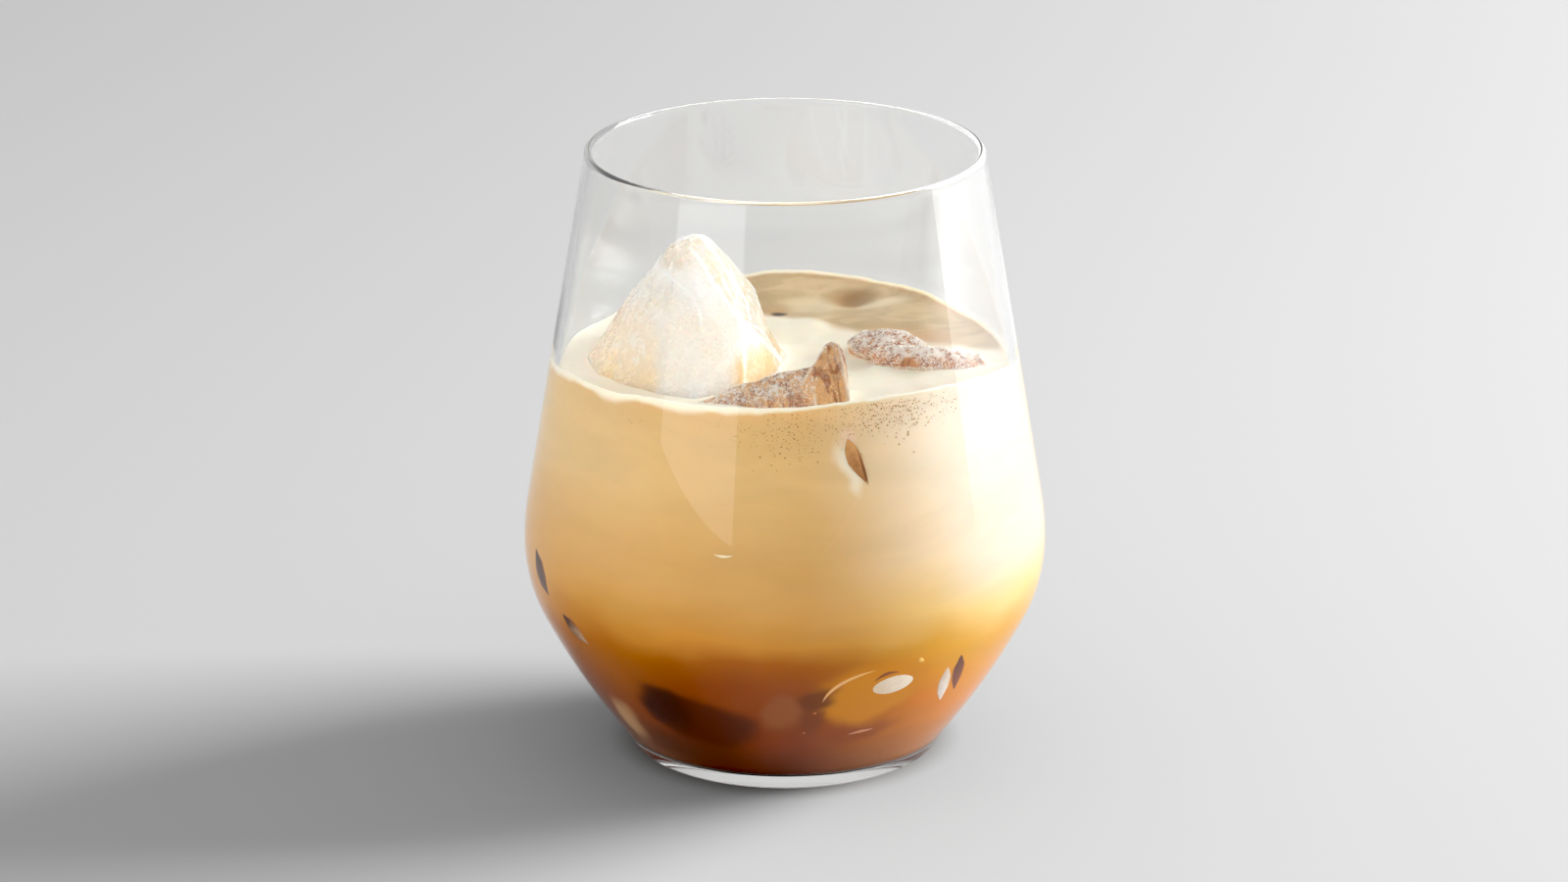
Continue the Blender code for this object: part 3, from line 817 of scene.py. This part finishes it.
# Blocks of ice, each made of chunks that are the hulls of points in millimetres
ICE_CHUNKS = {
    "ice_large": (
        ((-19.2, -1.7, 87.8), (-17.6, -2.3, 89.0), (-15.4, -2.2, 89.6), (-13.4, -1.6, 89.2),
         (-12.0, -0.6, 88.0), (-14.0, 3.4, 87.4), (-17.4, 2.8, 87.2), (-20.9, -2.6, 85.6),
         (-26.3, -2.0, 78.2), (-33.2, -1.5, 68.2), (-33.3, 0.0, 62.0), (-30.6, -12.4, 67.8),
         (-26.2, -18.2, 67.8), (-20.6, -22.9, 67.6), (-15.0, -24.6, 67.4), (-6.6, -20.0, 67.4),
         (-0.8, -8.6, 67.6), (-13.6, -14.2, 77.9), (-14.9, -10.6, 81.0), (-19.4, -7.4, 83.6),
         (-7.0, -12.6, 77.9), (-9.0, -0.4, 84.6), (-5.0, 0.8, 79.2), (-3.8, 0.8, 74.6), (-4.5, 10.0, 72.0),
         (-10.0, 16.4, 68.0), (-22.0, 17.4, 68.0), (-31.0, 10.0, 68.0), (-15.0, 8.6, 81.0),
         (-24.0, 7.0, 78.0), (-28.0, -8.0, 45.0), (-10.0, -14.0, 45.0), (-4.0, 2.0, 45.0),
         (-12.0, 13.0, 45.0), (-27.0, 9.0, 45.0)),
        ((-4.4, 1.0, 74.4), (-8.0, -8.0, 76.0), (-9.0, 5.0, 74.0), (-0.2, -4.4, 69.2), (0.4, -0.5, 67.4),
         (-1.0, 6.0, 67.4), (-1.6, -9.6, 68.2), (-10.0, 10.0, 66.0), (-6.0, -17.0, 68.0),
         (-2.0, -3.0, 55.0), (-10.0, -12.0, 55.0), (-9.0, 8.0, 55.0)),
    ),
    "ice_front": (
        ((-13.8, -25.6, 68.0), (-9.4, -23.8, 69.7), (-3.0, -22.8, 71.3), (3.4, -22.4, 73.0),
         (5.4, -22.2, 73.2), (-11.6, -28.0, 67.0), (-3.0, -29.2, 67.4), (5.2, -29.0, 68.0),
         (-12.0, -20.4, 66.4), (5.0, -17.6, 67.0), (-8.0, -24.0, 58.4), (5.0, -24.0, 58.4),
         (-3.0, -27.4, 69.6), (4.6, -27.0, 70.8)),
        ((5.5, -23.8, 75.8), (6.4, -23.6, 77.2), (7.5, -23.4, 77.8), (8.7, -23.2, 77.3),
         (9.5, -22.6, 75.8), (10.0, -21.0, 73.4), (6.4, -21.0, 75.6), (8.7, -20.8, 75.4),
         (2.6, -26.2, 71.6), (10.2, -27.2, 69.8), (3.0, -28.8, 67.0), (10.4, -28.6, 66.6),
         (10.4, -19.0, 67.0), (4.8, -18.6, 67.0), (5.0, -24.0, 58.4), (9.8, -24.0, 58.4),
         (7.6, -25.6, 73.4)),
    ),
    "ice_right": (
        ((10.4, 1.6, 69.6), (11.6, -1.0, 68.4), (13.0, 3.4, 71.2), (16.0, 2.0, 71.6), (19.8, 1.4, 71.5),
         (23.4, -1.6, 70.4), (24.0, -4.0, 68.8), (13.2, -2.8, 68.2), (12.0, 6.2, 67.8), (23.0, 4.6, 67.8),
         (16.6, 4.6, 70.2), (18.0, -2.2, 70.2), (13.0, 0.0, 61.4), (22.0, -1.0, 61.4)),
        ((13.8, -3.4, 69.4), (16.0, -2.8, 70.4), (20.4, -4.4, 70.9), (27.6, -5.8, 70.8),
         (32.0, -4.8, 69.6), (14.6, -6.2, 67.6), (22.4, -8.2, 67.9), (29.4, -8.8, 67.8),
         (33.4, -5.6, 67.6), (31.0, -0.4, 67.4), (18.0, 0.6, 68.2), (18.0, -4.0, 61.4), (29.0, -5.0, 61.4),
         (24.4, -6.6, 70.2)),
    ),
}


def mark_edges(data, voxel):
    """Stores how sharply the surface turns outwards at each vertex, from 0 to 1, as its edge value."""
    count = len(data.vertices)
    spots, normals = np.empty(count * 3), np.empty(count * 3)
    pairs = np.empty(len(data.edges) * 2, dtype=int)
    data.vertices.foreach_get("co", spots)
    data.vertices.foreach_get("normal", normals)
    data.edges.foreach_get("vertices", pairs)
    spots, (first, second) = spots.reshape(-1, 3), pairs.reshape(-1, 2).T
    starts, ends = np.concatenate((first, second)), np.concatenate((second, first))
    neighbours = np.maximum(np.bincount(starts, minlength=count), 1)

    def around(values):
        """Mean of the values at each vertex's neighbours."""
        return np.bincount(starts, weights=values[ends], minlength=count) / neighbours

    middle = np.stack([around(spots[:, axis]) for axis in range(3)], axis=1)
    bulge = ((spots - middle) * normals.reshape(-1, 3)).sum(axis=1) / voxel
    for _ in range(2):
        bulge = 0.5 * bulge + 0.5 * around(bulge)
    hold(data, edge=np.clip(bulge / EDGE_BULGE, 0, 1))


def ice_block(name, node, voxel, layers, softened=2):
    """A fine mesh of a block's chunks, with its surface worn by layers of noise (size, depth)."""
    mesh = bmesh.new()
    for chunk in ICE_CHUNKS[node]:
        points = [mesh.verts.new(Vector(point) / 1000) for point in chunk]
        made = bmesh.ops.convex_hull(mesh, input=points, use_existing_faces=False)
        spare = set(made["geom_interior"] + made["geom_unused"])
        spare = [part for part in spare if isinstance(part, bmesh.types.BMVert)]
        bmesh.ops.delete(mesh, geom=spare, context="VERTS")
    bmesh.ops.recalc_face_normals(mesh, faces=mesh.faces)
    piece = linked(name, mesh=mesh)
    remesh = piece.modifiers.new("fine", "REMESH")
    remesh.mode = "VOXEL"
    remesh.voxel_size = voxel
    piece.modifiers.new("soften", "SMOOTH").iterations = softened
    baked = piece.evaluated_get(bpy.context.evaluated_depsgraph_get())
    data = bpy.data.meshes.new_from_object(baked)
    piece.modifiers.clear()
    piece.data = data
    mark_edges(data, voxel)
    moves = []
    for vertex in data.vertices:
        shift = sum(d * noise.noise(vertex.co / size + Vector((size, 0, 0)) * 1000) for size, d in layers)
        moves.append(vertex.co + vertex.normal * shift)
    for vertex, spot in zip(data.vertices, moves):
        vertex.co = spot
    data.shade_smooth()
    return piece


# Frost: the block, how often a grain is tried, smallest and largest radius in millimetres, least upward lean
# of the face, size in metres and least level of the patches that hold it, its centre and reach in millimetres
FROST_GROUPS = (
    ("ice_front", 6500, 0.04, 0.14, 0.15, 0.004, -0.10, (-3.0, -24.0, 72.6), 10.5),
    ("ice_front", 260, 0.05, 0.12, 0.0, 0.003, 0.0, (7.4, -24.0, 72.0), 6.0),
    ("ice_right", 8000, 0.045, 0.16, 0.15, 0.004, -0.25, (21.0, -2.0, 70.4), 16.0),
    ("ice_large", 2400, 0.05, 0.15, 0.0, 0.005, 0.05, (-25.0, -10.0, 74.0), 9.5),
    ("ice_large", 1500, 0.05, 0.14, 0.0, 0.004, 0.15, (-12.5, -17.0, 74.0), 8.0),
)


def frost_grains(blocks):
    """Grains of frost on the faces of the blocks, which come by node, as small eight-faced crystals."""
    dice = random.Random(5)
    vertices, faces = [], []
    for node, count, small, large, lean, patch, level, centre, reach in FROST_GROUPS:
        data = blocks[node].data
        data.calc_loop_triangles()
        usable, sums, total = [], [], 0.0
        for triangle in data.loop_triangles:
            if triangle.normal.z < lean or (triangle.center * 1000 - Vector(centre)).length > reach:
                continue
            total += triangle.area
            sums.append(total)
            usable.append(triangle)
        for _ in range(count):
            triangle = usable[bisect.bisect(sums, dice.random() * total) - len(sums)]
            first, second = dice.random(), dice.random()
            if first + second > 1:
                first, second = 1 - first, 1 - second
            corners = [data.vertices[index].co for index in triangle.vertices]
            spot = corners[0] + (corners[1] - corners[0]) * first + (corners[2] - corners[0]) * second
            size = (small + (large - small) * dice.random() ** 2) / 1000
            turn = Matrix.Rotation(dice.uniform(0, math.pi), 3, Vector((dice.random(), dice.random(), 0.3)))
            if noise.noise(spot / patch) + 0.5 * noise.noise(spot / patch * 3.1) < level:
                continue
            start = len(vertices)
            for axis, share in enumerate((1.0, 0.8, 0.65)):
                for sign in (1, -1):
                    corner = Vector([0, 0, 0])
                    corner[axis] = sign * size * share
                    vertices.append(tuple(spot + turn @ corner + triangle.normal * size * 0.2))
            faces += [(start + x, start + y, start + z) for x in (0, 1) for y in (2, 3) for z in (4, 5)]
    piece = mesh_object("ice_frost", vertices, faces)
    piece.data.shade_flat()
    graph = new_material("ice_frost")
    tint = graph.mix(graph.noise(0.004), srgb(255, 253, 250), srgb(250, 240, 228))
    graph.set(Base_Color=tint, Roughness=0.3, Specular_IOR_Level=0.6, Subsurface_Weight=0.3)
    graph.set(Subsurface_Radius=(1.0, 0.9, 0.8), Subsurface_Scale=0.001)
    return paint(piece, graph.owner)


# The tall block's front as the camera faces it: shares of Y and Z that make its height there, its tip, the
# left edge of its clear strip in millimetres across and up, and the white lines of painted highlight with
# their half widths
ICE_FACE = (0.319, 0.948)
ICE_TIP = (-0.0176, -0.004, 0.0862)
CLEAR_EDGE = ((-15.4, 81.7), (-8.4, 71.4), (-0.2, 62.8))
ICE_HIGHLIGHT_LINES = (
    (CLEAR_EDGE, 0.00042),
    (((-19.8, 77.6), (-17.1, 75.3), (-15.0, 73.6), (-14.0, 71.6), (-13.7, 69.0)), 0.00030),
    (((-13.6, 83.4), (-11.2, 80.2), (-8.9, 76.9), (-6.6, 73.4), (-5.6, 69.9)), 0.00024),
    (((-7.2, 70.0), (-4.4, 68.6), (-2.2, 65.6), (-0.4, 63.2)), 0.00022),
    (((-9.0, 78.2), (-7.6, 75.0), (-8.0, 72.6)), 0.00018),
)


def large_ice_material():
    """Cloudy white ice with a painted peach glow low on the left, and a clear strip down its right side."""
    graph = new_material("ice_cloudy")
    x, z = graph.axis("X"), graph.axis("Z")
    patches = graph.span(graph.noise(0.011), 0.35, 0.65)
    fine = graph.span(graph.noise(0.0016, detail=4.0, roughness=0.7), 0.46, 0.60)
    low = graph.span(z, 0.067, 0.084, 1.0, 0.0)
    rough = graph.most(low, graph.span(x, -0.020, -0.016, 1.0, 0.0))
    frost = graph.times(fine, graph.span(graph.noise(0.0065, detail=1.0), 0.50, 0.62, 0.0, 0.45), rough)
    glow = graph.times(low, graph.span(x, -0.0222, -0.0192, 1.0, 0.25), graph.span(patches, 0, 1, 0.8, 1.0))
    colour = graph.mix(patches, srgb(241, 239, 236), srgb(240, 235, 228))
    colour = graph.mix(glow, colour, srgb(250, 214, 168))

    # The clear strip to the right of CLEAR_EDGE, with painted glints in it, and the white lines, which are
    # painted highlights
    waver = graph.waver(0.005, 0.003)
    across, rise = graph.plus(x, graph.times(waver, 0.5)), graph.along(0.0, *ICE_FACE)
    face = graph.add("CombineXYZ", {0: across, 1: rise}).outputs[0]
    past = []
    for start, end in zip(CLEAR_EDGE, CLEAR_EDGE[1:]):
        lean = (end[0] - start[0]) / (start[1] - end[1])
        edge = graph.maths("MULTIPLY_ADD", rise, -lean, (start[0] + start[1] * lean) / 1000)
        past.append(graph.maths("SUBTRACT", across, edge))
    clear = graph.span(graph.joined("MINIMUM", *past), 0.0, 0.0005)
    line = graph.times(graph.most(*(graph.strokes(face, *stroke) for stroke in ICE_HIGHLIGHT_LINES)), 0.8)
    glints = graph.span(graph.noise(0.0030, detail=2.0, stretch=(1, 1, 0.6), distortion=2.5), 0.47, 0.53)
    colour = graph.mix(clear, colour, graph.mix(glints, srgb(234, 226, 208), srgb(250, 249, 246)))

    # Honey low on the right, white frost with painted highlights along the edges and lines, and the
    # honeycombed tip
    low_right = graph.span(graph.plus(x, waver), -0.0095, -0.0072)
    low_right = graph.times(low_right, graph.span(z, 0.0710, 0.0745, 1.0, 0.0))
    colour = graph.mix(graph.times(low_right, 0.9), colour, srgb(236, 192, 134))
    broken = graph.span(graph.noise(0.0045, detail=1.0), 0.36, 0.56, 0.25, 0.9)
    edge = graph.times(graph.span(graph.value("edge"), 0.35, 0.9), broken)
    edge = graph.times(edge, graph.span(low_right, 0, 1, 1.0, 0.5))
    colour = graph.mix(graph.most(frost, edge, line), colour, srgb(250, 248, 243))
    tip = graph.span(graph.vector("DISTANCE", graph.place, ICE_TIP), 0.0020, 0.0040, 1.0, 0.0)
    inputs = {"Vector": graph.scaled(0.0016), "Scale": 1.0}
    web = graph.add("TexVoronoi", inputs, feature="DISTANCE_TO_EDGE").outputs["Distance"]
    colour = graph.mix(graph.times(graph.span(web, 0.05, 0.20), tip, 0.5), colour, srgb(228, 221, 210))

    open_ice = graph.most(clear, tip)
    cloud = graph.times(graph.span(patches, 0, 1, 0.12, 0.30), graph.maths("SUBTRACT", 1.0, frost))
    solid = graph.maths("SUBTRACT", 1.0, graph.most(edge, line))
    graph.set(Base_Color=colour, IOR=ICE_IOR, Coat_Weight=1.0, Coat_Roughness=0.03)
    graph.set(Transmission_Weight=graph.times(graph.mix_value(open_ice, cloud, 0.55), solid))
    graph.set(Roughness=graph.mix_value(open_ice, graph.span(fine, 0, 1, 0.25, 0.4), 0.03))
    graph.set(Subsurface_Weight=0.9, Subsurface_Radius=(1.0, 0.94, 0.88), Subsurface_Scale=0.012)
    cracks = graph.times(graph.span(web, 0.0, 0.16, 1.0, 0.0), tip, 0.25)
    waves = graph.times(graph.noise(0.0030, detail=1.5, distortion=2.0), open_ice)
    grain = graph.times(graph.noise(0.0010, detail=4.0), graph.span(rough, 0, 1, 0.02, 0.10))
    graph.bump(graph.plus(grain, waves, cracks), 0.0008)
    let_light_in(graph, ICE_TINT, lamps=0.6)
    return graph.owner


def brown_ice_material(name, light, dark, crown, crust_span, bare_from=1.0):
    """Clear ice that shows the coffee through it in folds of light and dark, with little frost past an X.

    crown is the span of heights over which the frost sets in, and how much they rise with X.
    """
    graph = new_material(name)
    folds = graph.noise(0.0040, detail=2.5, stretch=(1.6, 1, 0.6), distortion=1.8)
    colour = graph.mix(graph.span(folds, 0.40, 0.60), srgb(*light), srgb(*dark))
    crust = graph.span(graph.noise(0.0010, detail=5.0, roughness=0.75), *crust_span)
    low, high, climb = crown
    bare = graph.span(graph.axis("X"), bare_from, bare_from + 0.003, 1.0, 0.2)
    frost = graph.times(crust, graph.span(graph.along(-climb, 0, 1), low, high), bare)
    # Painted highlight along the convex edges
    colour = graph.mix(graph.span(graph.value("edge"), 0.25, 0.75, 0.0, 0.8), colour, srgb(252, 236, 214))
    colour = graph.mix(graph.times(frost, 0.9), colour, srgb(255, 246, 236))
    graph.set(Base_Color=colour, IOR=ICE_IOR, Roughness=graph.span(frost, 0, 1, 0.08, 0.5))
    graph.set(Transmission_Weight=graph.span(frost, 0.0, 0.5, 0.45, 0.0))
    graph.set(Coat_Weight=0.8, Coat_Roughness=0.05)
    graph.bump(graph.plus(folds, graph.times(crust, 0.2)), 0.0005)
    let_light_in(graph, ICE_TINT, lamps=0.4)
    return graph.owner


# Wear of the ice, as (size, depth) of noise, and the looks of the two brown blocks
CLOUDY_WEAR = ((0.012, 0.0005), (0.004, 0.00012), (0.0015, 0.00002))
BROWN_WEAR = ((0.006, 0.0005), (0.0022, 0.00022), (0.0009, 0.00008))
FRONT_LOOK = ("ice_brown", (244, 190, 128), (170, 104, 52), (0.0682, 0.0704, 0.16), (0.47, 0.59), 0.0015)
RIGHT_LOOK = ("ice_brown_right", (236, 160, 92), (184, 104, 52), (0.0684, 0.0700, 0.0), (0.42, 0.54))


def ice_blocks():
    """The three blocks by the node that each stands for."""
    large = ice_block("ice_tall_block", "ice_large", 0.00042, CLOUDY_WEAR, 6)
    front = ice_block("ice_front_block", "ice_front", 0.00022, BROWN_WEAR)
    right = ice_block("ice_right_block", "ice_right", 0.00022, BROWN_WEAR)
    return {
        "ice_large": paint(large, large_ice_material()),
        "ice_front": paint(front, brown_ice_material(*FRONT_LOOK)),
        "ice_right": paint(right, brown_ice_material(*RIGHT_LOOK)),
    }


def area_light(name, azimuth, elevation, distance, size, power, aim_height=0.05):
    """A soft box that faces the glass from an azimuth (0 is +X, 90 is +Y) and an elevation, in degrees.

    The camera doesn't see it, and what is behind the glass doesn't see it through the glass.
    """
    data = bpy.data.lights.new(name, "AREA")
    data.shape = "RECTANGLE"
    data.size, data.size_y = size
    data.energy = power
    lamp = linked(name, data)
    lift = math.radians(elevation)
    away = Vector(round_axis(math.cos(lift), math.radians(azimuth), math.sin(lift)))
    lamp.location = Vector((0, 0, aim_height)) + away * distance
    lamp.rotation_euler = (-away).to_track_quat("-Z", "Y").to_euler()
    lamp.visible_camera = lamp.visible_transmission = False
    return lamp


def fade_across(data, stops):
    """Dims an area light from one side to the other by (place, share) stops, and towards its bottom."""
    graph = Graph(data)
    split = graph.add("SeparateXYZ", {0: graph.add("NewGeometry").outputs["Parametric"]}).outputs
    curve = graph.add("FloatCurve", {"Value": split["X"]})
    points = curve.mapping.curves[0].points
    while len(points) < len(stops):
        points.new(0.5, 0.5)
    for point, place in zip(points, stops):
        point.location = place
    curve.mapping.update()
    low = graph.span(split["Y"], 0.0, 0.16, 0.08, 1.0)
    graph.put(graph.nodes["Emission"].inputs["Strength"], graph.times(curve.outputs[0], low))


# Lamps: azimuth, elevation, distance, size, power and, for the cards that the glass reflects, aim height
KEY = (19, 21.5, 1.8, (0.95, 0.75), 47.5)
FILLS = {"front_fill": (-55, 18, 1.3, (1.0, 0.9), 4.5), "left_fill": (205, 18, 1.3, (1.0, 0.9), 11.0)}
CARDS = {
    "right_card": (24, 0, 0.14, (0.175, 0.13), 0.179, 0.095),
    "window_card": (229.5, 17, 0.82, (0.567, 0.53), 1.3, 0.05),
    "window_card_top": (229.5, 0, 0.80, (0.567, 0.07), 0.14, 0.135),
    "rim_card": (80, 50, 0.70, (0.60, 0.35), 5.0, 0.1),
}
RIGHT_CARD_FADE = (
    (0.0, 0.95), (0.14, 0.90), (0.30, 0.60), (0.44, 0.42), (0.58, 0.30), (0.73, 0.18), (1.0, 0.04)
)


def lights():
    """The key light, fills from the front and the left for the drink, and cards that the glass reflects."""
    area_light("key_softbox", *KEY)
    for name, values in FILLS.items():
        fill = area_light(name, *values)
        fill.visible_glossy = False
        fill.light_linking.receiver_collection = FILLED
    cards = {name: area_light(name, *values) for name, values in CARDS.items()}
    for card in cards.values():
        card.visible_diffuse = False
    fade_across(cards["right_card"].data, RIGHT_CARD_FADE)
    cards["rim_card"].light_linking.receiver_collection = GLAZED


def studio_world():
    """White light all round. Reflections see it brighter than rough surfaces do, and dimmer at the front."""
    world = bpy.data.worlds.new("studio")
    bpy.context.scene.world = world
    graph = Graph(world)
    front = graph.vector("DOT_PRODUCT", graph.add("TexCoord").outputs["Generated"], (0, -0.97, 0.24))
    rough = graph.add("LightPath").outputs["Is Diffuse Ray"]
    back = graph.nodes["Background"].inputs
    graph.put(back["Color"], (1, 1, 1))
    graph.put(back["Strength"], graph.mix_value(rough, graph.span(front, 0.3, 0.95, 0.75, 0.40), 0.375))


def floor(half=4.0):
    """A pale floor with painted shade that makes it slightly darker far behind, and a painted contact shade
    around the foot.
    """
    corners = [(-half, -half, 0), (half, -half, 0), (half, half, 0), (-half, half, 0)]
    graph = new_material("studio_floor")
    tone = graph.mix(graph.noise(0.25, detail=4.0), (0.81, 0.81, 0.81), (0.83, 0.83, 0.83))
    # Painted shade: darker far behind, and a contact shade at the foot
    tone = graph.mix(graph.span(graph.axis("Y"), -0.1, 0.6), tone, (0.70, 0.70, 0.70))
    contact = graph.span(graph.vector("LENGTH", graph.place), 0.022, 0.031, 0.65, 0.0)
    tone = graph.mix(contact, tone, (0.16, 0.12, 0.10))
    graph.set(Base_Color=tone, Roughness=1.0, Specular_IOR_Level=0.0)
    paint(mesh_object("studio_floor", corners, [(0, 1, 2, 3)]), graph.owner)


def camera():
    """The photo's camera, and the way that its picture is shown."""
    data = bpy.data.cameras.new("photo_camera")
    data.lens = CAMERA_LENS
    data.sensor_width = 36
    made = linked("photo_camera", data)
    back, up = CAMERA_DISTANCE * math.cos(CAMERA_PITCH), CAMERA_DISTANCE * math.sin(CAMERA_PITCH)
    made.location = (CAMERA_SHIFT_X, -back, CAMERA_TARGET_HEIGHT + up)
    made.rotation_euler = (math.pi / 2 - CAMERA_PITCH, 0, 0)
    bpy.context.scene.camera = made
    show = bpy.context.scene.view_settings
    show.view_transform = "Standard"
    show.use_curve_mapping = True
    show.curve_mapping.black_level = (BLACK_LEVEL, BLACK_LEVEL, BLACK_LEVEL)
    show.curve_mapping.update()


def light_paths():
    """Enough bounces for light to run along inside the wall and the lip of the glass."""
    cycles = bpy.context.scene.cycles
    cycles.max_bounces = 64
    cycles.glossy_bounces = 64
    cycles.transmission_bounces = 64
    cycles.transparent_max_bounces = 16


def hand_over(piece, slot, *nodes):
    """Rides a finished piece on the one body, puts it with what the rim card lights if its slot is glass and
    with what the fills light otherwise, and hides the solids of the nodes that it stands for.
    """
    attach(piece, "root")
    (GLAZED if slot == "glass" else FILLED).objects.link(piece)
    if nodes:
        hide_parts(*nodes)


def main():
    tumbler = turned("tumbler", glass_outline(), GLASS_SEGMENTS)
    hand_over(paint(tumbler, glass_material()), "glass", "glass")
    outline = bowl_outline(BASE_THICKNESS - WALL_OVERLAP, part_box("coffee")[1].z, -WALL_OVERLAP)
    coffee = turned("coffee_body", outline + [(0.0, outline[-1][1])], DRINK_SEGMENTS)
    hand_over(paint(coffee, coffee_material()), "coffee", "coffee")

    blocks = ice_blocks()
    grains = frost_grains(blocks)
    joined = bmesh.new()
    for node, piece in blocks.items():
        hand_over(piece, "ice", node)
        joined.from_mesh(piece.data)
    hand_over(grains, "ice")
    tree = BVHTree.FromBMesh(joined)
    joined.free()
    hand_over(froth_piece(tree), "froth", "froth")
    hand_over(froth_pits(), "froth")
    for strip in SUNK_STRIPS:
        hand_over(wall_strip(strip), "ice")

    lights()
    studio_world()
    floor()
    camera()
    light_paths()


main()
